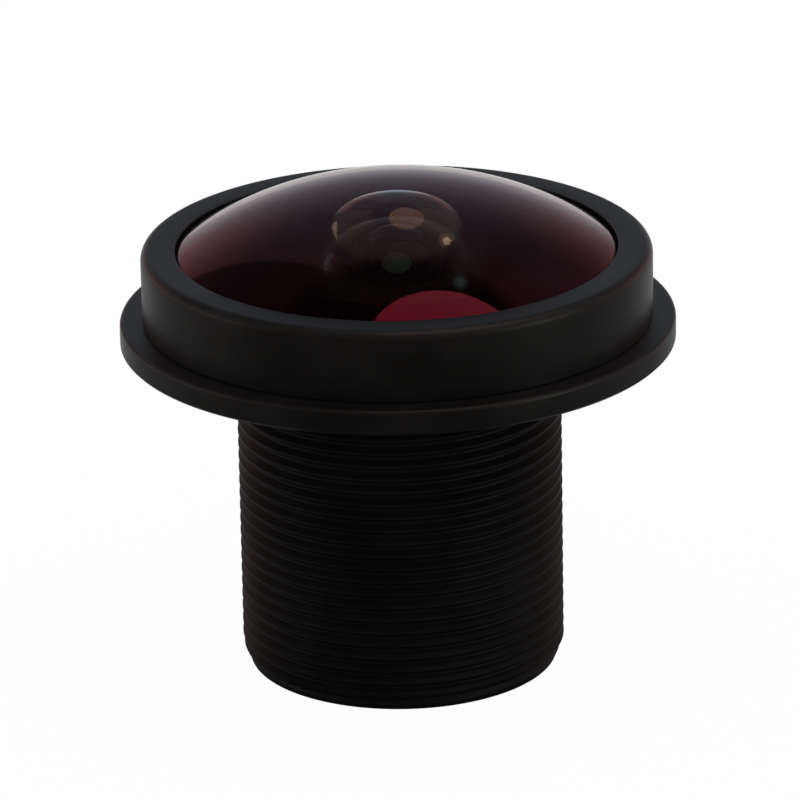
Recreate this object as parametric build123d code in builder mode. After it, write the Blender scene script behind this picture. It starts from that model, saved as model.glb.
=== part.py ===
from build123d import *

import os
from math import copysign, sqrt

# Fisheye lens of a board camera, in millimetres. Z is the optical axis and the dome looks towards +Z.
# The origin is the centre of the barrel's rear end, on which the lens stands.
# A glass curve is positive where the surface bulges towards the front, negative where it bulges to the rear.

# Barrel: an M12 x 0.5 screw thread below a flange. The thread's crests are modelled as a plain tube.
thread_radius = 6.0
thread_lead_in_height = 0.67
thread_lead_in_depth = 0.28
flange_thickness = 0.935
flange_step = 0.835
flange_top_round = 0.2
flange_bottom_bevel = 0.12
front_seat_above_flange_bottom = 1.593
rear_web_thickness = 0.6
collar_wall = 0.62
collar_below_glass_rim = 0.6
collar_bevel = 0.15

# Clearances
fit = 0.02
thread_clearance = 0.05
axial_play = 0.02
contact_gap = 0.01
floor_gap = 0.05

# Front ring, which screws on the barrel's collar, and the slip washer under its lip
front_ring_wall = 0.4
front_ring_top_bevel = 0.34
front_ring_foot_bevel = 0.08
front_ring_mouth_bevel = 0.03
lip_overlap = 0.18
lip_thickness = 0.09
lip_washer_inset = 0.03
lip_washer_thickness = 0.05

# Front element: a strong negative meniscus
glass_bevel = 0.1
front_top_curve = 14.7
front_hollow_curve = 4.65
front_hollow_depth = 3.335
front_rim_height = 1.7984

# Rubber ring in a groove under the front element
inner_land = 0.9
groove_width = 0.95
groove_depth = 0.6
outer_land = 0.68
seal_side_room = 0.06
seal_corner_radius = 0.25

# Second element and the threaded ring that clamps it and the glasses below
second_top_curve = 7.876
second_hollow_curve = 3.042
second_hollow_depth = 1.887
second_thickness = 0.7
second_rim_width = 0.35
second_nest_gap = 0.136
inner_ring_lip = 0.35
inner_ring_headroom = 0.05
inner_ring_wall = 0.53
inner_ring_skirt = 0.45
inner_ring_mouth_room = 0.05
inner_slot_width = 0.9
inner_slot_depth = 0.2

# Third element, hollow on both sides, and its spacers
third_top_curve = -10.96
third_bottom_curve = 3.13
third_hollow_depth = 1.2
third_thickness = 0.6
third_rim_width = 0.6
second_spacer_thickness = 0.09
third_spacer_height = 0.32
third_spacer_width = 0.9

# Fourth element, thick and positive, and the long spacer with light traps below it
middle_bore_step = 0.4
fourth_top_curve = 4.6
fourth_bottom_curve = -17.25
fourth_thickness = 3.16
fourth_spacer_height = 1.19
fourth_spacer_width = 0.6
trap_count = 5
trap_tooth = 0.12

# Aperture stop
stop_aperture_radius = 1.3
stop_thickness = 0.06
stop_gap = 0.32
stop_bevel_share = 0.7

# Cemented doublet: crown ahead, flint behind
crown_edge_step = 0.55
crown_top_curve = 14.0
cement_curve = -3.225
crown_thickness = 2.464
flint_bottom_curve = -5.264
flint_thickness = 0.5
stop_spacer_lip = 0.35
stop_spacer_clearance = 0.1

# Rear element and the spacer ahead of it
rear_glass_radius = 3.0
rear_top_curve = 14.0
rear_bottom_curve = -22.64
rear_thickness = 1.2
rear_air_gap = 0.1
rear_spacer_width = 0.6
rear_seat_width = 0.6

# Infrared filter, its washer and the threaded ring behind them
filter_radius = 4.0
filter_thickness = 0.5
filter_bevel = 0.06
filter_washer_width = 0.6
filter_washer_thickness = 0.08
rear_ring_step = 0.45
rear_ring_overlap = 0.8
rear_ring_height = 0.8
rear_ring_inset = 0.174
rear_ring_mouth_bevel = 0.3
rear_slot_width = 0.8
rear_slot_depth = 0.35


def drop(curve, reach):
    """How far a spherical surface lies behind its vertex at this distance from the axis."""
    return curve - copysign(sqrt(curve**2 - reach**2), curve)


def mouth(curve, depth):
    """Radius at which a hollow of this curve has this depth."""
    return sqrt(depth * (2 * abs(curve) - depth))


def glass_outline(top, top_curve, top_reach, bottom, bottom_curve, bottom_reach, edge):
    """Half outline of a round glass, from the axis to its bevelled edge."""
    top_rim = top - drop(top_curve, top_reach)
    bottom_rim = bottom - drop(bottom_curve, bottom_reach)
    flat_end = edge - glass_bevel
    ThreePointArc(
        (0, top),
        (top_reach / 2, top - drop(top_curve, top_reach / 2)),
        (top_reach, top_rim),
    )
    if top_reach < flat_end:
        Line((top_reach, top_rim), (flat_end, top_rim))
    Polyline(
        (flat_end, top_rim),
        (edge, top_rim - glass_bevel),
        (edge, bottom_rim + glass_bevel),
        (flat_end, bottom_rim),
    )
    if bottom_reach < flat_end:
        Line((flat_end, bottom_rim), (bottom_reach, bottom_rim))
    ThreePointArc(
        (bottom_reach, bottom_rim),
        (bottom_reach / 2, bottom - drop(bottom_curve, bottom_reach / 2)),
        (0, bottom),
    )
    Line((0, bottom), (0, top))


def ring_outline(inner, outer, bottom, top):
    """Section of a plain ring."""
    Polyline((inner, bottom), (outer, bottom), (outer, top), (inner, top), close=True)


# Heights of the filter group, from the rear end forwards
rear_ring_bottom = rear_ring_inset
rear_ring_top = rear_ring_bottom + rear_ring_height
filter_washer_bottom = rear_ring_top + axial_play
filter_bottom = filter_washer_bottom + filter_washer_thickness
filter_top = filter_bottom + filter_thickness
pocket_floor = filter_top + axial_play
rear_seat = pocket_floor + rear_web_thickness

# Radii of the glasses behind and ahead of the stop
rear_opening_radius = rear_glass_radius - rear_seat_width
rear_spacer_radius = rear_glass_radius - rear_spacer_width
crown_radius = rear_glass_radius - crown_edge_step
middle_radius = rear_glass_radius + middle_bore_step
fourth_spacer_radius = middle_radius - fourth_spacer_width
third_spacer_radius = middle_radius - third_spacer_width
third_top_reach = middle_radius - third_rim_width
third_bottom_reach = mouth(third_bottom_curve, third_hollow_depth)

# Heights of the glasses: each rests on the one behind it
rear_bottom = rear_seat + contact_gap + drop(rear_bottom_curve, rear_opening_radius)
rear_top = rear_bottom + rear_thickness
rear_spacer_bottom = rear_top - drop(rear_top_curve, rear_spacer_radius) + contact_gap
flint_bottom = rear_top + rear_air_gap
rear_spacer_top = flint_bottom - drop(flint_bottom_curve, rear_spacer_radius) - contact_gap
cement = flint_bottom + flint_thickness
flint_rim = cement - drop(cement_curve, crown_radius)
crown_top = cement + crown_thickness
stop_bottom = crown_top + stop_gap
stop_top = stop_bottom + stop_thickness
fourth_spacer_top = stop_top + fourth_spacer_height
fourth_bottom = fourth_spacer_top + contact_gap + drop(fourth_bottom_curve, fourth_spacer_radius)
fourth_top = fourth_bottom + fourth_thickness
third_spacer_bottom = fourth_top - drop(fourth_top_curve, third_spacer_radius) + contact_gap
third_spacer_top = third_spacer_bottom + third_spacer_height
third_bottom = third_spacer_top + third_hollow_depth
third_top = third_bottom + third_thickness
second_spacer_bottom = third_top - drop(third_top_curve, third_top_reach)
second_rim_bottom = second_spacer_bottom + second_spacer_thickness
second_bottom = second_rim_bottom + second_hollow_depth
second_top = second_bottom + second_thickness
second_bottom_reach = mouth(second_hollow_curve, second_hollow_depth)

# The second element nests in the hollow of the front one
front_bottom_reach = mouth(front_hollow_curve, front_hollow_depth)
front_seat = second_top - drop(second_top_curve, front_bottom_reach) + second_nest_gap
second_rim_top = front_seat - inner_ring_headroom - inner_ring_lip
second_top_reach = mouth(second_top_curve, second_top - second_rim_top)
second_radius = second_top_reach + second_rim_width
inner_ring_radius = second_radius + fit + inner_ring_wall
inner_ring_bore_radius = second_top_reach + inner_ring_mouth_room
inner_ring_top = front_seat - inner_ring_headroom
inner_ring_bottom = second_rim_top - inner_ring_skirt

# Front element, its seal and the collar around it
groove_inner_radius = inner_ring_radius + thread_clearance + inner_land
groove_outer_radius = groove_inner_radius + groove_width
front_radius = groove_outer_radius + outer_land
front_bottom = front_seat + front_hollow_depth
front_rim_top = front_seat + front_rim_height
front_top = front_rim_top + drop(front_top_curve, front_radius - glass_bevel)
collar_radius = front_radius + fit + collar_wall
collar_top = front_rim_top - collar_below_glass_rim

# Front ring and slip washer
lip_radius = front_radius - lip_overlap
lip_washer_radius = lip_radius + lip_washer_inset
lip_washer_bottom = front_top - drop(front_top_curve, lip_washer_radius) + axial_play
lip_washer_top = lip_washer_bottom + lip_washer_thickness
lip_bottom = lip_washer_top + axial_play
front_ring_top = lip_bottom + lip_thickness
front_ring_bore_radius = collar_radius + thread_clearance
front_ring_radius = front_ring_bore_radius + front_ring_wall

# Barrel
flange_bottom = front_seat - front_seat_above_flange_bottom
flange_top = flange_bottom + flange_thickness
flange_radius = front_ring_radius + flange_step
filter_pocket_radius = filter_radius + thread_clearance
rear_ring_radius = filter_radius + rear_ring_step
rear_ring_bore_radius = filter_radius - rear_ring_overlap
middle_bore_bottom = stop_bottom - floor_gap
second_bore_bottom = second_rim_bottom - floor_gap
inner_ring_bore_bottom = inner_ring_bottom - floor_gap


# Barrel: thread tube, flange and collar, bored in steps from both ends
with BuildPart() as barrel:
    with BuildSketch(Plane.XZ):
        with BuildLine():
            Polyline(
                (rear_ring_radius + thread_clearance, 0),
                (thread_radius - thread_lead_in_depth, 0),
                (thread_radius, thread_lead_in_height),
                (thread_radius, flange_bottom),
                (flange_radius, flange_bottom),
                (flange_radius, flange_top),
                (collar_radius, flange_top),
                (collar_radius, collar_top),
                (front_radius + fit, collar_top),
                (front_radius + fit, front_seat),
                (inner_ring_radius + thread_clearance, front_seat),
                (inner_ring_radius + thread_clearance, inner_ring_bore_bottom),
                (second_radius + fit, inner_ring_bore_bottom),
                (second_radius + fit, second_bore_bottom),
                (middle_radius + fit, second_bore_bottom),
                (middle_radius + fit, middle_bore_bottom),
                (rear_glass_radius + fit, middle_bore_bottom),
                (rear_glass_radius + fit, rear_seat),
                (rear_opening_radius, rear_seat),
                (rear_opening_radius, pocket_floor),
                (filter_pocket_radius, pocket_floor),
                (filter_pocket_radius, filter_washer_bottom),
                (rear_ring_radius + thread_clearance, filter_washer_bottom),
                close=True,
            )
        make_face()
    revolve(axis=Axis.Z)
    flange_rims = barrel.edges().filter_by(lambda edge: edge.is_closed).group_by(SortBy.RADIUS)[-1]
    fillet(flange_rims.sort_by(Axis.Z)[-1], flange_top_round)
    chamfer(flange_rims.sort_by(Axis.Z)[0], flange_bottom_bevel)
    collar_rims = barrel.edges().filter_by(lambda edge: edge.is_closed).group_by(Axis.Z)[-1]
    chamfer(collar_rims, collar_bevel)
    with BuildSketch(Plane.XY.offset(front_seat)):
        Circle(groove_outer_radius)
        Circle(groove_inner_radius, mode=Mode.SUBTRACT)
    extrude(amount=-groove_depth, mode=Mode.SUBTRACT)

# Front ring: screws on the collar and holds the dome with its lip
with BuildPart() as front_ring:
    with BuildSketch(Plane.XZ):
        with BuildLine():
            Polyline(
                (front_ring_bore_radius, flange_top + axial_play),
                (front_ring_radius - front_ring_foot_bevel, flange_top + axial_play),
                (front_ring_radius, flange_top + axial_play + front_ring_foot_bevel),
                (front_ring_radius, front_ring_top - front_ring_top_bevel),
                (front_ring_radius - front_ring_top_bevel, front_ring_top),
                (lip_radius + front_ring_mouth_bevel, front_ring_top),
                (lip_radius, front_ring_top - front_ring_mouth_bevel),
                (lip_radius, lip_bottom),
                (front_ring_bore_radius, lip_bottom),
                close=True,
            )
        make_face()
    revolve(axis=Axis.Z)

# Slip washer between the lip and the glass
with BuildPart() as lip_washer:
    with BuildSketch(Plane.XZ):
        with BuildLine():
            ring_outline(lip_washer_radius, collar_radius, lip_washer_bottom, lip_washer_top)
        make_face()
    revolve(axis=Axis.Z)

# Squeezed rubber ring in the groove under the front element
with BuildPart() as seal_ring:
    with BuildSketch(Plane.XZ):
        with Locations(((groove_inner_radius + groove_outer_radius) / 2, front_seat - groove_depth / 2)):
            RectangleRounded(groove_width - 2 * seal_side_room, groove_depth, seal_corner_radius)
    revolve(axis=Axis.Z)

# Front element
with BuildPart() as front_element:
    with BuildSketch(Plane.XZ):
        with BuildLine():
            glass_outline(
                front_top,
                front_top_curve,
                front_radius - glass_bevel,
                front_bottom,
                front_hollow_curve,
                front_bottom_reach,
                front_radius,
            )
        make_face()
    revolve(axis=Axis.Z)

# Inner ring: clamps the rim of the second element, with two slots for its spanner
with BuildPart() as inner_ring:
    with BuildSketch(Plane.XZ):
        with BuildLine():
            Polyline(
                (second_radius + fit, inner_ring_bottom),
                (inner_ring_radius, inner_ring_bottom),
                (inner_ring_radius, inner_ring_top),
                (inner_ring_bore_radius, inner_ring_top),
                (inner_ring_bore_radius, second_rim_top),
                (second_radius + fit, second_rim_top),
                close=True,
            )
        make_face()
    revolve(axis=Axis.Z)
    with BuildSketch(Plane.XY.offset(inner_ring_top)):
        Rectangle(3 * inner_ring_radius, inner_slot_width)
    extrude(amount=-inner_slot_depth, mode=Mode.SUBTRACT)

# Second element
with BuildPart() as second_element:
    with BuildSketch(Plane.XZ):
        with BuildLine():
            glass_outline(
                second_top,
                second_top_curve,
                second_top_reach,
                second_bottom,
                second_hollow_curve,
                second_bottom_reach,
                second_radius,
            )
        make_face()
    revolve(axis=Axis.Z)

# Thin spacer between the second and the third element
with BuildPart() as spacer_second_third:
    with BuildSketch(Plane.XZ):
        with BuildLine():
            ring_outline(third_top_reach, middle_radius, second_spacer_bottom, second_rim_bottom)
        make_face()
    revolve(axis=Axis.Z)

# Third element
with BuildPart() as third_element:
    with BuildSketch(Plane.XZ):
        with BuildLine():
            glass_outline(
                third_top,
                third_top_curve,
                third_top_reach,
                third_bottom,
                third_bottom_curve,
                third_bottom_reach,
                middle_radius,
            )
        make_face()
    revolve(axis=Axis.Z)

# Spacer between the third and the fourth element
with BuildPart() as spacer_third_fourth:
    with BuildSketch(Plane.XZ):
        with BuildLine():
            ring_outline(third_spacer_radius, middle_radius, third_spacer_bottom, third_spacer_top)
        make_face()
    revolve(axis=Axis.Z)

# Fourth element
with BuildPart() as fourth_element:
    with BuildSketch(Plane.XZ):
        with BuildLine():
            glass_outline(
                fourth_top,
                fourth_top_curve,
                middle_radius - glass_bevel,
                fourth_bottom,
                fourth_bottom_curve,
                middle_radius - glass_bevel,
                middle_radius,
            )
        make_face()
    revolve(axis=Axis.Z)

# Long spacer between the fourth element and the stop, its bore turned into sharp light traps
with BuildPart() as spacer_fourth_stop:
    with BuildSketch(Plane.XZ):
        with BuildLine():
            trap_pitch = fourth_spacer_height / trap_count
            traps = []
            for trap in range(trap_count):
                traps.append((fourth_spacer_radius, fourth_spacer_top - trap * trap_pitch))
                traps.append((fourth_spacer_radius + trap_tooth, fourth_spacer_top - (trap + 1) * trap_pitch))
            Polyline((middle_radius, stop_top), (middle_radius, fourth_spacer_top), *traps, close=True)
        make_face()
    revolve(axis=Axis.Z)

# Aperture stop, a thin disc whose hole has a sharp edge towards the front
with BuildPart() as aperture_stop:
    with BuildSketch(Plane.XZ):
        with BuildLine():
            Polyline(
                (stop_aperture_radius + stop_bevel_share * stop_thickness, stop_bottom),
                (middle_radius, stop_bottom),
                (middle_radius, stop_top),
                (stop_aperture_radius, stop_top),
                close=True,
            )
        make_face()
    revolve(axis=Axis.Z)

# Spacer under the stop: it stands on the rim of the flint and reaches over the edge of the crown
with BuildPart() as spacer_stop_doublet:
    lip_inner_radius = crown_radius - stop_spacer_lip
    lip_underside = crown_top - drop(crown_top_curve, lip_inner_radius) + stop_spacer_clearance
    with BuildSketch(Plane.XZ):
        with BuildLine():
            Polyline(
                (crown_radius + fit, flint_rim),
                (rear_glass_radius, flint_rim),
                (rear_glass_radius, stop_bottom),
                (lip_inner_radius, stop_bottom),
                (lip_inner_radius, lip_underside),
                (crown_radius + fit, lip_underside),
                close=True,
            )
        make_face()
    revolve(axis=Axis.Z)

# Crown of the cemented doublet
with BuildPart() as doublet_crown:
    with BuildSketch(Plane.XZ):
        with BuildLine():
            glass_outline(
                crown_top,
                crown_top_curve,
                crown_radius - glass_bevel,
                cement,
                cement_curve,
                crown_radius - glass_bevel,
                crown_radius,
            )
        make_face()
    revolve(axis=Axis.Z)

# Flint of the cemented doublet, wider than the crown so that its rim carries the spacer
with BuildPart() as doublet_flint:
    with BuildSketch(Plane.XZ):
        with BuildLine():
            glass_outline(
                cement,
                cement_curve,
                crown_radius,
                flint_bottom,
                flint_bottom_curve,
                rear_glass_radius - glass_bevel,
                rear_glass_radius,
            )
        make_face()
    revolve(axis=Axis.Z)

# Spacer between the doublet and the rear element
with BuildPart() as spacer_doublet_rear:
    with BuildSketch(Plane.XZ):
        with BuildLine():
            ring_outline(rear_spacer_radius, rear_glass_radius, rear_spacer_bottom, rear_spacer_top)
        make_face()
    revolve(axis=Axis.Z)

# Rear element
with BuildPart() as rear_element:
    with BuildSketch(Plane.XZ):
        with BuildLine():
            glass_outline(
                rear_top,
                rear_top_curve,
                rear_glass_radius - glass_bevel,
                rear_bottom,
                rear_bottom_curve,
                rear_glass_radius - glass_bevel,
                rear_glass_radius,
            )
        make_face()
    revolve(axis=Axis.Z)

# Infrared filter
with BuildPart() as infrared_filter:
    with BuildSketch(Plane.XY.offset(filter_bottom)):
        Circle(filter_radius)
    extrude(amount=filter_thickness)
    chamfer(infrared_filter.edges().filter_by(lambda edge: edge.is_closed), filter_bevel)

# Washer between the filter and its ring
with BuildPart() as filter_washer:
    with BuildSketch(Plane.XY.offset(filter_washer_bottom)):
        Circle(filter_radius)
        Circle(filter_radius - filter_washer_width, mode=Mode.SUBTRACT)
    extrude(amount=filter_washer_thickness)

# Rear ring, with two slots for its spanner
with BuildPart() as rear_ring:
    with BuildSketch(Plane.XY.offset(rear_ring_bottom)):
        Circle(rear_ring_radius)
        Circle(rear_ring_bore_radius, mode=Mode.SUBTRACT)
    extrude(amount=rear_ring_height)
    rear_rims = rear_ring.edges().filter_by(lambda edge: edge.is_closed).group_by(Axis.Z)[0]
    chamfer(rear_rims.sort_by(SortBy.RADIUS)[0], rear_ring_mouth_bevel)
    with BuildSketch(Plane.XY.offset(rear_ring_bottom)):
        Rectangle(3 * rear_ring_radius, rear_slot_width)
    extrude(amount=rear_slot_depth, mode=Mode.SUBTRACT)


pieces = {
    "barrel": barrel,
    "front_ring": front_ring,
    "lip_washer": lip_washer,
    "front_element": front_element,
    "seal_ring": seal_ring,
    "inner_ring": inner_ring,
    "second_element": second_element,
    "spacer_second_third": spacer_second_third,
    "third_element": third_element,
    "spacer_third_fourth": spacer_third_fourth,
    "fourth_element": fourth_element,
    "spacer_fourth_stop": spacer_fourth_stop,
    "aperture_stop": aperture_stop,
    "spacer_stop_doublet": spacer_stop_doublet,
    "doublet_crown": doublet_crown,
    "doublet_flint": doublet_flint,
    "spacer_doublet_rear": spacer_doublet_rear,
    "rear_element": rear_element,
    "infrared_filter": infrared_filter,
    "filter_washer": filter_washer,
    "rear_ring": rear_ring,
}
os.makedirs("parts", exist_ok=True)
for name, piece in pieces.items():
    piece.part.label = name
    export_step(piece.part, f"parts/{name}.step")
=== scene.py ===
"""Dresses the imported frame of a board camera's fisheye lens: metal, thread, coated glasses, fittings and studio."""

from math import asin, copysign, cos, pi, radians, sin, sqrt, tan

import bmesh
import bpy
from bpy.props import FloatProperty, FloatVectorProperty, IntProperty, PointerProperty
from bpy.types import Operator, Panel, PropertyGroup
from mathutils import Matrix, Quaternion, Vector


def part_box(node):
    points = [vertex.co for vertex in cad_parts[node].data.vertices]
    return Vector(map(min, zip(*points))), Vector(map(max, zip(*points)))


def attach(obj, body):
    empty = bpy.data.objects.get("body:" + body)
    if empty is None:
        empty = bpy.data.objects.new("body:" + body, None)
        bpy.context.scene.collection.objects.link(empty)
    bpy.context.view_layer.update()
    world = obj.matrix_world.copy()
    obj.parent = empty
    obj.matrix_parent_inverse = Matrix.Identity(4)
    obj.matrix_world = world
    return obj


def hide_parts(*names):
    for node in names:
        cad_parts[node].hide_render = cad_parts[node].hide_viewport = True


bl_info = {
    "name": "Fisheye Lens",
    "version": (1, 0, 0),
    "blender": (4, 5, 0),
    "location": "View3D > Sidebar > Fisheye Lens",
    "description": "Dresses the frame of a board camera's fisheye lens",
    "category": "Object",
}

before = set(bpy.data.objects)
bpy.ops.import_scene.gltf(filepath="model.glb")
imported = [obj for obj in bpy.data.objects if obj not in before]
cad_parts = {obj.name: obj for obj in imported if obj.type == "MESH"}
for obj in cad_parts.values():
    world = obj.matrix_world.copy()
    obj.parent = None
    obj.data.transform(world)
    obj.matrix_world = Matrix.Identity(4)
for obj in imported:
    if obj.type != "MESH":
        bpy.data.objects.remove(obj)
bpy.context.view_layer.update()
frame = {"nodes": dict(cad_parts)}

MM = 0.001

# Sizes of the solids that the frame's boxes don't give.
THREAD_RADIUS = 6.0 * MM
FOOT_RADIUS = 5.72 * MM
LEAD_IN_HEIGHT = 0.67 * MM
FLANGE_THICKNESS = 0.935 * MM
COLLAR_BEVEL = 0.15 * MM
GROOVE_WIDTH = 0.95 * MM
GROOVE_DEPTH = 0.6 * MM
SEAL_SIDE_ROOM = 0.06 * MM
REAR_WEB = 0.6 * MM
REAR_OPENING = 2.4 * MM
RING_WALL = 0.4 * MM
RING_EDGE = 0.34 * MM
LIP_OVERLAP = 0.18 * MM
LIP_THICKNESS = 0.09 * MM
LIP_BEVEL = 0.03 * MM
GLASS_BEVEL = 0.1 * MM
FILTER_BEVEL = 0.06 * MM

# Clearances between the solids: glasses and washers, screwed rings, and the floor of each bore.
FIT = 0.02 * MM
THREAD_CLEARANCE = 0.05 * MM
FLOOR_GAP = 0.05 * MM

# The visual model's own small forms, all inside the solids.
FLANGE_BEVEL = 0.12 * MM
FLANGE_EDGE = 0.035 * MM
RING_FOOT_BEVEL = 0.03 * MM
SLEEVE_INSET = 0.4 * MM
SLEEVE_OVERLAP = 0.02 * MM

CROWN_GLASS_INDEX = 1.5168
SMALL_GLASS_SEGMENTS = 160
LARGE_GLASS_SEGMENTS = 256
LARGE_GLASS_RADIUS = 5 * MM

# The seven glasses, front to rear: refractive index, front curve, how far from the axis it reaches, rear curve,
# how far that reaches, and centre thickness. A curve is positive where the surface bulges towards the front.
GLASSES = {
    "front_element": (1.7725, 14.7, 8.2019, 4.65, 4.4601, 0.9643),
    "second_element": (1.6204, 7.876, 4.8215, 3.042, 2.8142, 0.7),
    "third_element": (CROWN_GLASS_INDEX, -10.96, 2.8, 3.13, 2.4641, 0.6),
    "fourth_element": (1.8467, 4.6, 3.3, -17.25, 3.3, 3.16),
    "doublet_crown": (1.618, 14.0, 2.35, -3.225, 2.35, 2.464),
    "doublet_flint": (1.8467, -3.225, 2.45, -5.264, 2.9, 0.5),
    "rear_element": (1.618, 14.0, 2.9, -22.64, 2.9, 1.2),
}

# The backdrop's colour at each height in degrees, straight behind the lens and towards its two ends. The first
# height is BACKDROP_LOW and the last one lies BACKDROP_SPAN above it.
BACKDROP_LOW, BACKDROP_SPAN = -10, 70
BACKDROP_MIDDLE = [
    (-10, (0.57, 0.58, 0.65)),
    (-3, (0.6, 0.61, 0.68)),
    (2, (0.55, 0.58, 0.63)),
    (7, (0.4, 0.43, 0.47)),
    (12, (0.28, 0.305, 0.345)),
    (17, (0.215, 0.25, 0.295)),
    (22, (0.185, 0.21, 0.25)),
    (28, (0.14, 0.165, 0.205)),
    (36, (0.1, 0.14, 0.185)),
    (60, (0.09, 0.14, 0.165)),
]
BACKDROP_ENDS = [
    (-10, (0.72, 0.62, 0.62)),
    (2, (0.66, 0.54, 0.53)),
    (7, (0.6, 0.4, 0.38)),
    (12, (0.5, 0.28, 0.29)),
    (17, (0.41, 0.23, 0.225)),
    (22, (0.31, 0.175, 0.19)),
    (27, (0.22, 0.155, 0.17)),
    (32, (0.16, 0.13, 0.15)),
    (37, (0.125, 0.12, 0.14)),
    (42, (0.12, 0.13, 0.16)),
    (47, (0.12, 0.155, 0.175)),
    (60, (0.12, 0.17, 0.15)),
]

# The lamps that metal and glass mirror: turn from straight behind the lens and rise above it in degrees, distance,
# width and height in metres, radiance, colour, and how far each is turned about its own axis in degrees.
WARM, COOL, AMBER, WHITE = (1.0, 0.82, 0.8), (0.9, 1.1, 1.25), (1.0, 0.85, 0.6), (1.0, 1.0, 1.0)
MIRRORED_LAMPS = {
    "lamp_above": (0, 90, 0.4, 0.31, 0.344, 0.9, WARM, 10.4),
    "lamp_spot": (118, 7, 0.5, 0.095, 0.16, 2.9, COOL, 0),
    "lamp_spot_halo": (118, 6, 0.52, 0.19, 0.31, 0.5, AMBER, 0),
    "lamp_strip": (-93, 2, 0.5, 0.28, 0.13, 1.2, WHITE, -30),
}
# Softer lamps that only light the matt surfaces, in the same terms.
FILL_LAMPS = {
    "lamp_left": (-80, 40, 0.6, 0.4, 0.4, 0.65, WHITE, 0),
    "lamp_right": (80, 40, 0.6, 0.4, 0.4, 0.9, WHITE, 0),
}
LAMP_ABOVE_OFFSET = (0.1, -0.059, 0)
LAMPS_AIM_HEIGHT = 0.012

# Camera: where the picture's middle lies, in pixels of a square image of this size.
IMAGE_SIZE = 800
SHIFT_RIGHT, SHIFT_UP = 0.7, -0.9


# ---- Shader nodes ----


class Amount:
    """A number that changes over a surface. Python's operators on it add Math nodes."""

    def __init__(self, nodes, socket):
        self.nodes = nodes
        self.socket = socket

    def math(self, operation, *others, **settings):
        values = dict(enumerate((self, *others)))
        return self.nodes.amount("ShaderNodeMath", {"operation": operation, **settings}, values)

    def __add__(self, other):
        return self.math("ADD", other)

    __radd__ = __add__

    def __mul__(self, other):
        return self.math("MULTIPLY", other)

    __rmul__ = __mul__

    def __sub__(self, other):
        return self.math("SUBTRACT", other)

    def __rsub__(self, other):
        return self.nodes.amount("ShaderNodeMath", {"operation": "SUBTRACT"}, {0: other, 1: self})

    def __truediv__(self, other):
        return self.math("DIVIDE", other)

    def __rtruediv__(self, other):
        return self.nodes.amount("ShaderNodeMath", {"operation": "DIVIDE"}, {0: other, 1: self})

    def between(self, low, high):
        """0 at low and 1 at high, smoothly."""
        return self.nodes.amount(
            "ShaderNodeMapRange",
            {"interpolation_type": "SMOOTHSTEP"},
            {"Value": self, "From Min": low, "From Max": high},
        )

    def clamped(self):
        return self.math("ADD", 0.0, use_clamp=True)


class Nodes:
    """The node tree of one material or of the world."""

    def __init__(self, owner):
        owner.use_nodes = True
        self.tree = owner.node_tree
        self.tree.nodes.clear()

    def add(self, kind, settings=None, sockets=None):
        node = self.tree.nodes.new(kind)
        for name, value in (settings or {}).items():
            if name == "stops":
                for element, (place, colour) in zip(node.color_ramp.elements, value[:2]):
                    element.position, element.color = place, colour
                for place, colour in value[2:]:
                    node.color_ramp.elements.new(place).color = colour
            else:
                setattr(node, name, value)
        for key, value in (sockets or {}).items():
            socket = self.socket(node.inputs, key)
            if isinstance(value, Amount):
                value = value.socket
            if isinstance(value, bpy.types.NodeSocket):
                self.tree.links.new(value, socket)
            else:
                socket.default_value = value
        return node

    @staticmethod
    def socket(sockets, key):
        if isinstance(key, int):
            return sockets[key]
        return next(s for s in sockets if key in (s.identifier, s.name))

    def amount(self, kind, settings=None, sockets=None, output=0):
        return Amount(self, self.socket(self.add(kind, settings, sockets).outputs, output))

    def colour(self, kind, settings=None, sockets=None, output=0):
        return self.socket(self.add(kind, settings, sockets).outputs, output)

    def mix(self, share, first, second, blend="MIX"):
        """One colour blended over another."""
        return self.colour(
            "ShaderNodeMix",
            {"data_type": "RGBA", "blend_type": blend},
            {"Factor_Float": share, "A_Color": first, "B_Color": second},
            "Result_Color",
        )

    def mix_shader(self, share, first, second):
        return self.colour("ShaderNodeMixShader", {}, {0: share, 1: first, 2: second})

    def place(self):
        """The point on the piece, in metres, its distance from the lens axis and its height."""
        point = self.colour("ShaderNodeTexCoord", {}, {}, "Object")
        x, y, z = self.split(point)
        return point, (x * x + y * y).math("SQRT"), z

    def split(self, vector):
        return tuple(Amount(self, s) for s in self.add("ShaderNodeSeparateXYZ", {}, {0: vector}).outputs)

    def ray(self, kind):
        """1 for rays of this kind, such as Is Camera Ray, and 0 for others."""
        return self.amount("ShaderNodeLightPath", {}, {}, kind)

    def mirrored_ray(self):
        """1 where metal or glass looks at this, in a mirrored or a refracted ray."""
        return self.ray("Is Glossy Ray").math("MAXIMUM", self.ray("Is Transmission Ray"))

    def noise(self, point, scale, detail=2.0, roughness=0.5):
        return self.amount(
            "ShaderNodeTexNoise",
            {},
            {"Vector": point, "Scale": scale, "Detail": detail, "Roughness": roughness},
            "Fac",
        )

    def line_noise(self, along, scale, detail=2.0):
        """Noise along one number, so that it makes rings on a turned surface."""
        return self.amount(
            "ShaderNodeTexNoise", {"noise_dimensions": "1D"}, {"W": along, "Scale": scale, "Detail": detail}, "Fac"
        )

    def bump(self, height, distance, strength=1.0):
        return self.colour("ShaderNodeBump", {}, {"Height": height, "Distance": distance, "Strength": strength})

    def finish(self, shader, output="ShaderNodeOutputMaterial"):
        self.add(output, {}, {"Surface": shader})


def rgba(colour):
    return (*colour, 1.0) if len(colour) == 3 else tuple(colour)


# ---- Meshes ----


def drop(curve, reach):
    """How far a spherical surface lies behind its vertex at this distance from the axis."""
    return curve - copysign(sqrt(curve**2 - reach**2), curve)


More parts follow.
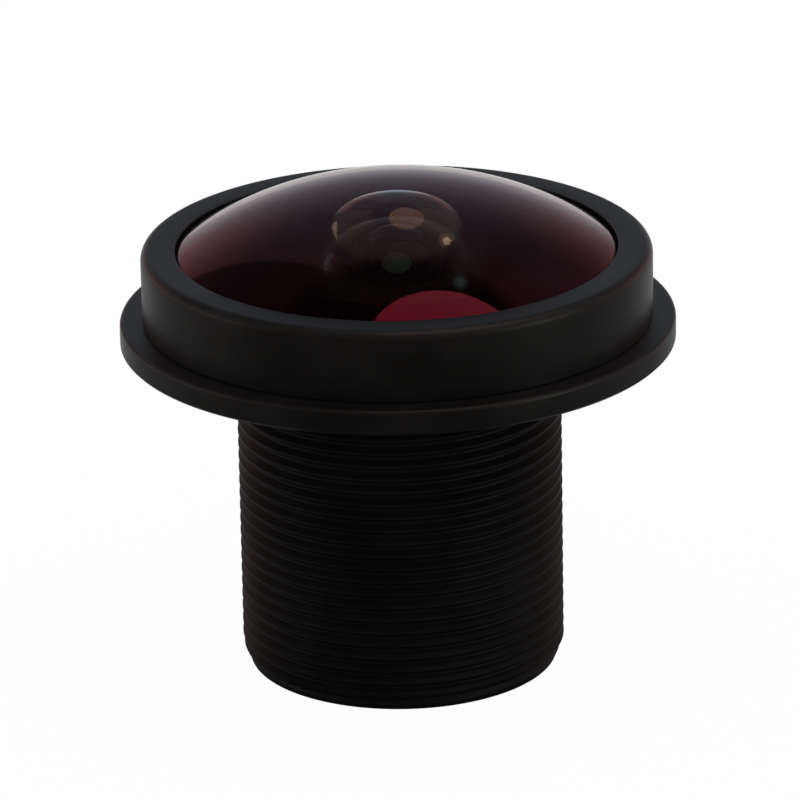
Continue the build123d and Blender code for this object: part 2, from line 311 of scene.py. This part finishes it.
def arc_points(vertex, curve, reach, steps, inwards=False):
    """Points of a spherical surface from the axis out to its reach, or back in."""
    edge = asin(reach / abs(curve))
    points = []
    for i in range(steps + 1):
        r = abs(curve) * sin(edge * i / steps)
        points.append((r, vertex - drop(curve, r)))
    return points[::-1] if inwards else points


def rounded(outline, size, steps=3):
    """Closed outline whose corners become small arcs."""
    points = []
    count = len(outline)
    for i, corner in enumerate(outline):
        before, after = Vector(outline[i - 1]), Vector(outline[(i + 1) % count])
        corner = Vector(corner)
        back, ahead = before - corner, after - corner
        angle = back.angle(ahead)
        if angle > radians(170):
            points.append(tuple(corner))
            continue
        cut = min(size / tan(angle / 2), back.length * 0.45, ahead.length * 0.45)
        radius = cut * tan(angle / 2)
        start, end = corner + back.normalized() * cut, corner + ahead.normalized() * cut
        middle = corner + (back.normalized() + ahead.normalized()).normalized() * (radius / sin(angle / 2))
        first, last = (start - middle), (end - middle)
        sweep = first.angle(last)
        for k in range(steps + 1):
            share = k / steps
            part = (first * sin((1 - share) * sweep) + last * sin(share * sweep)) / sin(sweep)
            points.append(tuple(middle + part))
    return points


def turned(name, outline, segments, closed=True, slots=None):
    """Mesh piece turned about the lens axis from (radius, height) points. slots gives each step's material number."""
    mesh = bmesh.new()
    rings = []
    for r, z in outline:
        if r < 1e-9:
            rings.append([mesh.verts.new((0, 0, z))] * segments)
        else:
            turns = (2 * pi * k / segments for k in range(segments))
            rings.append([mesh.verts.new((r * cos(turn), r * sin(turn), z)) for turn in turns])
    steps = len(outline) if closed else len(outline) - 1
    for i in range(steps):
        low, high = rings[i], rings[(i + 1) % len(rings)]
        if low[0] is low[1] and high[0] is high[1]:
            continue
        for k in range(segments):
            m = (k + 1) % segments
            corners = list(dict.fromkeys((low[k], low[m], high[m], high[k])))
            face = mesh.faces.new(corners)
            face.smooth = True
            face.material_index = slots[i] if slots else 0
    bmesh.ops.recalc_face_normals(mesh, faces=mesh.faces)
    return as_piece(name, mesh)


def as_piece(name, mesh, sharp=35):
    data = bpy.data.meshes.new(name)
    mesh.to_mesh(data)
    mesh.free()
    data.set_sharp_from_angle(angle=radians(sharp))
    piece = bpy.data.objects.new(name, data)
    bpy.context.scene.collection.objects.link(piece)
    return piece


def thread_sleeve(mesh, sizes, top):
    """Outside of a right-handed screw thread from z 0 up to top, with its lead-in cone."""
    pitch, depth, segments = sizes.thread_pitch, sizes.thread_depth, sizes.segments
    flat = pitch * sizes.crest_share
    root_flat = pitch * sizes.root_share
    flank = (pitch - flat - root_flat) / 2
    section = [
        (0.0, -depth),
        (root_flat / 2, -depth),
        (root_flat / 2 + flank * 0.12, -depth * 0.94),
        (root_flat / 2 + flank * 0.86, -depth * 0.1),
        (root_flat / 2 + flank, 0.0),
        (root_flat / 2 + flank + flat, 0.0),
        (root_flat / 2 + flank * 1.14 + flat, -depth * 0.1),
        (root_flat / 2 + flank * 1.88 + flat, -depth * 0.94),
        (pitch - root_flat / 2, -depth),
    ]
    turns = int(top / pitch) + 3
    columns = []
    for k in range(segments):
        column = []
        for t in range(-2, turns):
            for along, inset in section:
                z = pitch * (t + k / segments) + along
                r = THREAD_RADIUS + inset
                if z > top:
                    r, z = THREAD_RADIUS - depth * 1.1, top + SLEEVE_OVERLAP
                elif z < 0:
                    r, z = FOOT_RADIUS, 0.0
                elif z < LEAD_IN_HEIGHT:
                    cone = FOOT_RADIUS + (THREAD_RADIUS - FOOT_RADIUS) * z / LEAD_IN_HEIGHT
                    r = min(r, cone)
                column.append((r * cos(2 * pi * k / segments), r * sin(2 * pi * k / segments), z))
        columns.append([mesh.verts.new(point) for point in column])
    size = len(columns[0])
    for k in range(segments):
        left, right = columns[k], columns[(k + 1) % segments]
        # Once round, the thread has climbed one pitch.
        offset = len(section) if k == segments - 1 else 0
        for i in range(size - 1 - offset):
            a, b = left[i], left[i + 1]
            c, d = right[i + 1 + offset], right[i + offset]
            face = mesh.faces.new((a, d, c, b))
            face.smooth = True
            face.material_index = 1


# ---- Sizes and colours that a user would change ----


class LENS_PG_metal(PropertyGroup):
    thread_pitch: FloatProperty(
        name="Thread pitch", description="Height of one turn of the thread", default=0.0005, unit="LENGTH", precision=5
    )
    thread_depth: FloatProperty(
        name="Thread depth", description="From the crests to the roots", default=0.00027, unit="LENGTH", precision=5
    )
    crest_share: FloatProperty(
        name="Crest flat", description="Flat of the crest as a share of the pitch", default=0.14, subtype="FACTOR"
    )
    root_share: FloatProperty(
        name="Root flat", description="Flat of the root as a share of the pitch", default=0.2, subtype="FACTOR"
    )
    edge_round: FloatProperty(
        name="Edge round", description="Radius left on turned edges", default=0.00004, unit="LENGTH", precision=5
    )
    segments: IntProperty(name="Segments", description="Sides of the turned pieces", default=256, min=32)
    black: FloatVectorProperty(
        name="Black", description="Anodised black", default=(0.0041, 0.0038, 0.0037), subtype="COLOR"
    )
    worn: FloatVectorProperty(
        name="Worn", description="Black that handling has greyed", default=(0.013, 0.0125, 0.0122), subtype="COLOR"
    )
    roughness: FloatProperty(name="Roughness", description="Of the anodised metal", default=0.42, subtype="FACTOR")


class LENS_PG_glass(PropertyGroup):
    steps: IntProperty(name="Steps", description="Rings of vertices on each polished surface", default=48, min=8)
    front_coating: FloatVectorProperty(
        name="Front coating",
        description="Colour that the front face mirrors",
        default=(1.0, 0.0, 0.08),
        subtype="COLOR",
    )
    hollow_coating: FloatVectorProperty(
        name="Hollow coating",
        description="Colour that the hollow back of the front glass mirrors",
        default=(0.9, 0.46, 0.28),
        subtype="COLOR",
    )
    inner_coating: FloatVectorProperty(
        name="Inner coating",
        description="Colour that the glasses inside mirror",
        default=(0.02, 0.024, 0.018),
        subtype="COLOR",
    )
    paint: FloatVectorProperty(
        name="Front paint",
        description="Black paint on the front glass's rim",
        default=(0.0025, 0.0025, 0.0025),
        subtype="COLOR",
    )
    inner_paint: FloatVectorProperty(
        name="Inner paint",
        description="Brown-black paint on the inner rims",
        default=(0.038, 0.027, 0.024),
        subtype="COLOR",
    )


class LENS_PG_studio(PropertyGroup):
    distance: FloatProperty(
        name="Camera distance", description="From the lens axis", default=0.23953, unit="LENGTH", precision=5
    )
    height: FloatProperty(
        name="Aim height", description="Height that the camera aims at", default=0.01, unit="LENGTH", precision=5
    )
    elevation: FloatProperty(
        name="Elevation", description="Of the camera above the horizon", default=radians(20.697), subtype="ANGLE"
    )
    roll: FloatProperty(name="Roll", description="Of the camera", default=radians(1.072), subtype="ANGLE")
    focal_length: FloatProperty(
        name="Focal length", description="Of the camera, in millimetres, on a 36 mm sensor", default=291.64
    )
    floor: FloatVectorProperty(name="Floor", description="Pale floor", default=(0.86, 0.86, 0.86), subtype="COLOR")
    room: FloatProperty(name="Room", description="Strength of the plain light from all sides", default=0.6)


# ---- Materials ----


def anodised(name, metal, ring_scale=9000.0, bump=1.0, shade=1.0, dull=0.0, mirror=0.45):
    """Satin black anodised aluminium with the fine rings of the lathe tool."""
    made = bpy.data.materials.new(name)
    n = Nodes(made)
    point, reach, z = n.place()
    along = reach * 0.83 + z
    rings = n.line_noise(along, ring_scale, 3.0)
    broad = n.line_noise(along, ring_scale / 9, 1.0)
    grain = n.noise(point, 26000.0, 2.0)
    cloud = n.noise(point, 420.0, 3.0)
    dust = n.noise(point, 3100.0, 5.0, 0.7).between(0.66, 0.8)
    # A shade below 1 paints both blacks darker than the metal is: painted shade.
    black, worn = (rgba(Vector(c) * shade) for c in (metal.black, metal.worn))
    colour = n.mix(cloud.between(0.35, 0.7) * 0.35 + dust * 0.25, black, worn)
    rough = (rings - 0.5) * 0.1 + (cloud - 0.5) * 0.12 + (grain - 0.5) * 0.08 + (metal.roughness + dull)
    height = rings * 0.6 + broad * 0.4 + grain * 0.8
    shader = n.colour(
        "ShaderNodeBsdfPrincipled",
        {},
        {
            "Base Color": colour,
            "Roughness": rough.clamped(),
            "Specular IOR Level": mirror,
            "Specular Tint": (1.0, 0.92, 0.85, 1.0),
            "Normal": n.bump(height, MM * 0.0012 * bump),
        },
    )
    n.finish(shader)
    return made


def matt_black(name, colour, roughness=0.75, grain_scale=18000.0):
    """Matt black of spacers, film and rubber."""
    made = bpy.data.materials.new(name)
    n = Nodes(made)
    point, reach, z = n.place()
    rings = n.line_noise(reach + z, 14000.0, 2.0)
    grain = n.noise(point, grain_scale, 3.0)
    cloud = n.noise(point, 700.0, 2.0)
    shade = n.mix(cloud.between(0.3, 0.75) * 0.5, rgba(colour), rgba([c * 2.2 for c in colour]))
    shader = n.colour(
        "ShaderNodeBsdfPrincipled",
        {},
        {
            "Base Color": shade,
            "Roughness": (roughness + (grain - 0.5) * 0.15).clamped(),
            "Specular IOR Level": 0.2,
            "Normal": n.bump(rings * 0.5 + grain, MM * 0.0015),
        },
    )
    n.finish(shader)
    return made


def polished_glass(name, index, coating, tint=(1.0, 1.0, 1.0)):
    """Polished glass whose anti-reflection coating lets only this share of each colour mirror head-on."""
    made = bpy.data.materials.new(name)
    n = Nodes(made)
    point, _, _ = n.place()
    haze = n.noise(point, 900.0, 4.0, 0.6).between(0.6, 0.95) * 0.004
    shader = n.colour(
        "ShaderNodeBsdfPrincipled",
        {},
        {
            "Base Color": rgba(tint),
            "Roughness": haze,
            "IOR": index,
            "Transmission Weight": 1.0,
            "Specular Tint": rgba(coating),
        },
    )
    n.finish(shader)
    return made


def edge_paint(name, colour):
    """Black paint brushed on the rim of a glass."""
    made = bpy.data.materials.new(name)
    n = Nodes(made)
    point, _, _ = n.place()
    brush = n.noise(point, 2600.0, 3.0)
    shade = n.mix(brush, rgba(colour), rgba([c * 1.6 for c in colour]))
    shader = n.colour(
        "ShaderNodeBsdfPrincipled",
        {},
        {
            "Base Color": shade,
            "Roughness": 0.7 + brush * 0.2,
            "Specular IOR Level": 0.0,
            "Normal": n.bump(brush, MM * 0.002),
        },
    )
    n.finish(shader)
    return made


def use_material(piece, *materials):
    """Fills the slots in place, because clearing them first would forget which faces are painted."""
    for i, m in enumerate(materials):
        if i < len(piece.data.materials):
            piece.data.materials[i] = m
        else:
            piece.data.materials.append(m)


def grey(level):
    return (level, level, level, 1.0)


def mirrored_room(n, x, y, z):
    """What metal and glass mirror: a pale backdrop that fades upwards, dimmer walls and a dark ceiling."""
    turn = x.math("ARCTAN2", y)
    side = turn.math("ABSOLUTE")
    rise = z.math("ARCSINE")
    middle, ends = (
        n.colour(
            "ShaderNodeValToRGB",
            {"stops": [((degrees - BACKDROP_LOW) / BACKDROP_SPAN, rgba(colour)) for degrees, colour in fade]},
            {"Fac": rise / radians(BACKDROP_SPAN) - BACKDROP_LOW / BACKDROP_SPAN},
        )
        for fade in (BACKDROP_MIDDLE, BACKDROP_ENDS)
    )
    pale = n.mix(side.between(radians(6), radians(34)), middle, ends)
    # Its left end is dark above 22 degrees, behind an edge that leans, and a part at the right is a little dimmer.
    left_edge = (turn - rise * 0.17).between(radians(-36.8), radians(-38.6)) * rise.between(radians(22), radians(27))
    right_part = turn.between(radians(10), radians(30)) * turn.between(radians(44), radians(34))
    backdrop = n.mix(left_edge * 0.6 + right_part * 0.24, pale, grey(0.0))
    beside = n.mix(turn.between(radians(-10), radians(10)), grey(0.15), grey(0.24))
    walls = n.mix(side.between(radians(118), radians(135)), beside, grey(0.08))
    around = n.mix(side.between(radians(60), radians(68)), backdrop, walls)
    return n.mix(rise.between(radians(57), radians(64)), around, grey(0.015))


def mirrored_floor_painted_light_and_shade(n, x, y):
    """What they mirror of the floor, a glow of painted light and shade: pale behind, fading to dark painted shade
    around the camera.
    """
    side = x.math("ARCTAN2", y).math("ABSOLUTE")
    back = n.mix(side.between(radians(20), radians(65)), grey(0.8), grey(0.2))
    return n.mix(side.between(radians(75), radians(140)), back, grey(0.03))


# ---- Operators: one for each piece or group ----


def heights(node):
    low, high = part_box(node)
    return low.z, high.z


def radius(node):
    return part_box(node)[1].x


class LENS_OT_barrel(Operator):
    """Threaded barrel with its flange, collar and stepped bores"""

    bl_idname = "lens.barrel"
    bl_label = "Barrel"

    def execute(self, context):
        metal = context.scene.lens_metal
        flange, collar = radius("barrel"), radius("lip_washer")
        flange_top = heights("front_ring")[0] - FIT
        flange_bottom = flange_top - FLANGE_THICKNESS
        collar_top = heights("barrel")[1]
        seat = heights("front_element")[0]
        glass = radius("front_element") + FIT
        groove_out = radius("seal_ring") + SEAL_SIDE_ROOM
        groove_in = groove_out - GROOVE_WIDTH
        groove_floor = seat - GROOVE_DEPTH
        inner = radius("inner_ring") + THREAD_CLEARANCE
        inner_floor = heights("inner_ring")[0] - FLOOR_GAP
        second = radius("second_element") + FIT
        second_floor = heights("spacer_second_third")[1] - FLOOR_GAP
        middle = radius("fourth_element") + FIT
        middle_floor = heights("aperture_stop")[0] - FLOOR_GAP
        rear = radius("rear_element") + FIT
        pocket_floor = heights("infrared_filter")[1] + FIT
        rear_seat = pocket_floor + REAR_WEB
        pocket = radius("infrared_filter") + THREAD_CLEARANCE
        ledge = heights("filter_washer")[0]
        mouth = radius("rear_ring") + THREAD_CLEARANCE
        outside = rounded(
            [
                (THREAD_RADIUS - SLEEVE_INSET, flange_bottom + 0.01 * MM),
                (THREAD_RADIUS - SLEEVE_INSET, flange_bottom),
                (flange - FLANGE_BEVEL, flange_bottom),
                (flange, flange_bottom + FLANGE_BEVEL),
                (flange, flange_top - FLANGE_BEVEL),
                (flange - FLANGE_EDGE, flange_top - FLANGE_EDGE),
                (flange - FLANGE_BEVEL, flange_top),
                (collar, flange_top),
                (collar, collar_top - COLLAR_BEVEL),
                (collar - COLLAR_BEVEL, collar_top),
                (glass + COLLAR_BEVEL, collar_top),
                (glass, collar_top - COLLAR_BEVEL),
                (glass, seat),
                (groove_out, seat),
                (groove_out, groove_floor),
                (groove_in, groove_floor),
                (groove_in, seat),
                (inner, seat),
                (inner, inner_floor),
                (second, inner_floor),
                (second, second_floor),
                (middle, second_floor),
                (middle, middle_floor),
                (rear, middle_floor),
                (rear, rear_seat),
                (REAR_OPENING, rear_seat),
                (REAR_OPENING, pocket_floor),
                (pocket, pocket_floor),
                (pocket, ledge),
                (mouth, ledge),
                (mouth, 0.0),
                (FOOT_RADIUS, 0.0),
            ],
            metal.edge_round,
        )
        # The outline is open between its last and first corners, where the thread's sleeve takes over.
        piece = turned("threaded_barrel", outside, metal.segments, closed=False)
        mesh = bmesh.new()
        mesh.from_mesh(piece.data)
        thread_sleeve(mesh, metal, flange_bottom)
        bmesh.ops.remove_doubles(mesh, verts=mesh.verts, dist=1e-8)
        bmesh.ops.dissolve_degenerate(mesh, dist=1e-8, edges=mesh.edges)
        bmesh.ops.recalc_face_normals(mesh, faces=mesh.faces)
        mesh.to_mesh(piece.data)
        mesh.free()
        piece.data.set_sharp_from_angle(angle=radians(40))
        # The thread gets a rougher copy of the anodising that mirrors less. Its blacks are at 0.7: painted shade of
        # the thread under the flange.
        cut = anodised("thread_anodising_painted_shade", metal, shade=0.7, dull=0.1, mirror=0.3)
        use_material(piece, anodised("satin_black_anodising", metal), cut)
        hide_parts("barrel")
        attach(piece, "lens_body")
        return {"FINISHED"}


class LENS_OT_front_ring(Operator):
    """Screwed front ring with its lip"""

    bl_idname = "lens.front_ring"
    bl_label = "Front ring"

    def execute(self, context):
        metal = context.scene.lens_metal
        bottom, top = heights("front_ring")
        outer = radius("front_ring")
        bore, lip = outer - RING_WALL, radius("front_element") - LIP_OVERLAP
        lip_bottom = top - LIP_THICKNESS
        quarter = [radians(7.5) * i for i in range(13)]
        outline = rounded(
            [
                (bore, bottom),
                (outer - RING_FOOT_BEVEL, bottom),
                (outer, bottom + RING_FOOT_BEVEL),
                *[(outer - RING_EDGE * (1 - cos(a)), top - RING_EDGE * (1 - sin(a))) for a in quarter],
                (lip + LIP_BEVEL, top),
                (lip, top - LIP_BEVEL),
                (lip, lip_bottom),
                (bore, lip_bottom),
            ],
            metal.edge_round,
        )
        piece = turned("front_ring_turned", outline, metal.segments)
        use_material(piece, anodised("ring_anodising", metal))
        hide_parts("front_ring")
        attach(piece, "front_ring")
        return {"FINISHED"}


class LENS_OT_glasses(Operator):
    """The seven glasses, with polished and coated faces and blackened rims"""

    bl_idname = "lens.glasses"
    bl_label = "Glasses"

    def execute(self, context):
        glass = context.scene.lens_glass
        front_paint = edge_paint("rim_paint", glass.paint)
        inner_paint = edge_paint("inner_rim_paint", glass.inner_paint)
        for node, (index, top_curve, top_reach, bottom_curve, bottom_reach, thickness) in GLASSES.items():
            high = heights(node)[1]
            edge = radius(node)
            top_curve, bottom_curve, thickness = top_curve * MM, bottom_curve * MM, thickness * MM
            top_reach, bottom_reach = top_reach * MM, bottom_reach * MM
            top = high + min(0.0, drop(top_curve, top_reach))
            bottom = top - thickness
            front = node == "front_element"
            steps = glass.steps * 2 if front else glass.steps
            upper = arc_points(top, top_curve, top_reach, steps)
            lower = arc_points(bottom, bottom_curve, bottom_reach, steps, inwards=True)
            top_rim, bottom_rim = upper[-1][1], lower[0][1]
            middle = [
                (edge - GLASS_BEVEL, top_rim),
                (edge, top_rim - GLASS_BEVEL),
                (edge, bottom_rim + GLASS_BEVEL),
                (edge - GLASS_BEVEL, bottom_rim),
            ]
            # A polished face that reaches the bevel has no flat rim.
            if top_reach >= edge - GLASS_BEVEL * 1.01:
                middle = middle[1:]
            if bottom_reach >= edge - GLASS_BEVEL * 1.01:
                middle = middle[:-1]
            outline = upper + middle + lower
            slots = [0] * (len(upper) - 1) + [1] * (len(middle) + 1) + [2] * len(lower)
            segments = LARGE_GLASS_SEGMENTS if edge > LARGE_GLASS_RADIUS else SMALL_GLASS_SEGMENTS
            piece = turned(node + "_polished", outline, segments, closed=False, slots=slots)
            upper_coating = glass.front_coating if front else glass.inner_coating
            lower_coating = glass.hollow_coating if front else glass.inner_coating
            use_material(
                piece,
                polished_glass(node + "_front_face", index, upper_coating),
                front_paint if front else inner_paint,
                polished_glass(node + "_back_face", index, lower_coating),
            )
            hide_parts(node)
            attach(piece, "lens_body")
        return {"FINISHED"}


class LENS_OT_filter(Operator):
    """Infrared filter behind the glasses"""

    bl_idname = "lens.filter"
    bl_label = "Filter"

    def execute(self, context):
        low, high = heights("infrared_filter")
        edge = radius("infrared_filter")
        outline = [
            (0.0, high),
            (edge - FILTER_BEVEL, high),
            (edge, high - FILTER_BEVEL),
            (edge, low + FILTER_BEVEL),
            (edge - FILTER_BEVEL, low),
            (0.0, low),
        ]
        piece = turned("infrared_filter_plate", outline, 128, closed=False)
        use_material(piece, polished_glass("filter_glass", CROWN_GLASS_INDEX, (0.5, 0.16, 0.1), (0.72, 0.9, 0.93)))
        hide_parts("infrared_filter")
        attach(piece, "filter")
        return {"FINISHED"}


class LENS_OT_fittings(Operator):
    """Spacers, stop, washers, seal and the threaded rings inside"""

    bl_idname = "lens.fittings"
    bl_label = "Fittings"

    def execute(self, context):
        metal = context.scene.lens_metal
        nodes = frame["nodes"]
        spacer = matt_black("spacer_black", (0.004, 0.004, 0.004))
        film = matt_black("film_black", (0.005, 0.005, 0.0052), 0.5, 9000.0)
        stop = matt_black("stop_black", (0.0045, 0.0042, 0.004), 0.6)
        rubber = matt_black("seal_rubber", (0.007, 0.007, 0.0072), 0.55, 6000.0)
        inner = anodised("inner_ring_anodising", metal)
        rear = anodised("rear_ring_anodising", metal)
        for name in ("spacer_third_fourth", "spacer_fourth_stop", "spacer_stop_doublet", "spacer_doublet_rear"):
            use_material(nodes[name], spacer)
        for name in ("lip_washer", "spacer_second_third", "filter_washer"):
            use_material(nodes[name], film)
        use_material(nodes["aperture_stop"], stop)
        use_material(nodes["seal_ring"], rubber)
        use_material(nodes["inner_ring"], inner)
        use_material(nodes["rear_ring"], rear)
        return {"FINISHED"}


class LENS_OT_studio(Operator):
    """Pale floor, soft lamps and the camera"""

    bl_idname = "lens.studio"
    bl_label = "Studio"

    def execute(self, context):
        studio = context.scene.lens_studio
        self.floor(studio)
        self.world(context.scene, studio)
        self.lamps()
        self.camera(context.scene, studio)
        context.scene.view_settings.view_transform = "Standard"
        context.scene.cycles.max_bounces = 32
        context.scene.cycles.transmission_bounces = 32
        context.scene.cycles.glossy_bounces = 12
        return {"FINISHED"}

    def floor(self, studio):
        piece = turned("floor", [(r, 0.0) for r in (0.0, 0.02, 0.1, 0.5, 3.0)], 64, closed=False)
        piece.location.z = -0.02 * MM
        made = bpy.data.materials.new("floor_paper")
        n = Nodes(made)
        point, reach, _ = n.place()
        grain = n.noise(point, 900.0, 3.0)
        paper = n.colour(
            "ShaderNodeBsdfPrincipled",
            {},
            {
                "Base Color": n.mix(grain * 0.02, rgba(studio.floor), grey(0.8)),
                "Roughness": 0.9,
                "Specular IOR Level": 0.1,
            },
        )
        glow = n.colour("ShaderNodeEmission", {}, {"Color": (1.0, 1.0, 1.0, 1.0), "Strength": 1.0})
        x, y, _ = n.split(point)
        # Looked at through the lens, the floor inside the barrel's foot is dark: a painted shadow, near black, that
        # metal and glass see.
        around = n.mix(reach.between(0.0052, 0.0056), (0.004, 0.005, 0.003, 1.0), mirrored_floor_painted_light_and_shade(n, x, y))
        # Metal and glass see the floor as this glow, with painted light behind and painted shade in front.
        mirrored = n.colour("ShaderNodeEmission", {}, {"Color": around, "Strength": 1.0})
        plain = n.mix_shader(n.ray("Is Camera Ray") * 0.975, paper, glow)
        n.finish(n.mix_shader(n.mirrored_ray(), plain, mirrored))
        use_material(piece, made)

    def world(self, scene, studio):
        world = bpy.data.worlds.new("room")
        scene.world = world
        n = Nodes(world)
        direction = n.colour("ShaderNodeTexCoord", {}, {}, "Generated")
        light = n.mix(n.mirrored_ray(), grey(studio.room), mirrored_room(n, *n.split(direction)))
        shown = n.mix(n.ray("Is Camera Ray"), light, grey(1.0))
        background = n.colour("ShaderNodeBackground", {}, {"Color": shown, "Strength": 1.0})
        n.finish(background, "ShaderNodeOutputWorld")

    def lamp(self, name, turn, rise, distance, width, height, radiance, colour, tilt):
        """Oval lamp of this radiance, seen from the lens at this turn from the back and this rise."""
        turn, rise = radians(turn), radians(rise)
        data = bpy.data.lights.new(name, "AREA")
        data.shape = "ELLIPSE"
        data.size, data.size_y = width, height
        data.color = colour
        data.energy = radiance * pi * pi / 4 * width * height
        lamp = bpy.data.objects.new(name, data)
        bpy.context.scene.collection.objects.link(lamp)
        away = Vector((sin(turn) * cos(rise), cos(turn) * cos(rise), sin(rise)))
        lamp.location = Vector((0, 0, LAMPS_AIM_HEIGHT)) + away * distance
        lamp.rotation_mode = "QUATERNION"
        lamp.rotation_quaternion = away.to_track_quat("Z", "Y") @ Quaternion((0, 0, 1), radians(tilt))
        lamp.visible_camera = False
        return lamp

    def lamps(self):
        mirrored = {name: self.lamp(name, *settings) for name, settings in MIRRORED_LAMPS.items()}
        mirrored["lamp_above"].location += Vector(LAMP_ABOVE_OFFSET)
        for name, settings in FILL_LAMPS.items():
            lamp = self.lamp(name, *settings)
            lamp.visible_glossy = lamp.visible_transmission = False

    def camera(self, scene, studio):
        data = bpy.data.cameras.new("camera")
        data.sensor_width = 36.0
        data.lens = studio.focal_length
        data.shift_x = SHIFT_RIGHT / IMAGE_SIZE
        data.shift_y = SHIFT_UP / IMAGE_SIZE
        data.clip_start, data.clip_end = 0.005, 20.0
        camera = bpy.data.objects.new("camera", data)
        scene.collection.objects.link(camera)
        right = Vector((1, 0, 0))
        up = Vector((0, sin(studio.elevation), cos(studio.elevation)))
        back = Vector((0, -cos(studio.elevation), sin(studio.elevation)))
        c, s = cos(studio.roll), sin(studio.roll)
        across, upward = c * right - s * up, s * right + c * up
        turn = Matrix((across, upward, back)).transposed().to_4x4()
        camera.matrix_world = Matrix.Translation(Vector((0, 0, studio.height)) + back * studio.distance) @ turn
        scene.camera = camera


class LENS_PT_panel(Panel):
    """Lists the pieces of the lens"""

    bl_idname = "LENS_PT_panel"
    bl_label = "Fisheye Lens"
    bl_space_type = "VIEW_3D"
    bl_region_type = "UI"
    bl_category = "Fisheye Lens"

    def draw(self, context):
        layout = self.layout
        for settings in (context.scene.lens_metal, context.scene.lens_glass, context.scene.lens_studio):
            box = layout.box()
            for name in settings.__annotations__:
                box.prop(settings, name)
        for operator in OPERATORS:
            layout.operator(operator.bl_idname)


OPERATORS = (
    LENS_OT_barrel,
    LENS_OT_front_ring,
    LENS_OT_glasses,
    LENS_OT_filter,
    LENS_OT_fittings,
    LENS_OT_studio,
)
CLASSES = (LENS_PG_metal, LENS_PG_glass, LENS_PG_studio, *OPERATORS, LENS_PT_panel)


def register():
    for c in CLASSES:
        bpy.utils.register_class(c)
    bpy.types.Scene.lens_metal = PointerProperty(type=LENS_PG_metal)
    bpy.types.Scene.lens_glass = PointerProperty(type=LENS_PG_glass)
    bpy.types.Scene.lens_studio = PointerProperty(type=LENS_PG_studio)


def unregister():
    del bpy.types.Scene.lens_studio
    del bpy.types.Scene.lens_glass
    del bpy.types.Scene.lens_metal
    for c in reversed(CLASSES):
        bpy.utils.unregister_class(c)


def main():
    register()
    for operator in OPERATORS:
        group, name = operator.bl_idname.split(".")
        getattr(getattr(bpy.ops, group), name)()


if __name__ == "__main__":
    main()
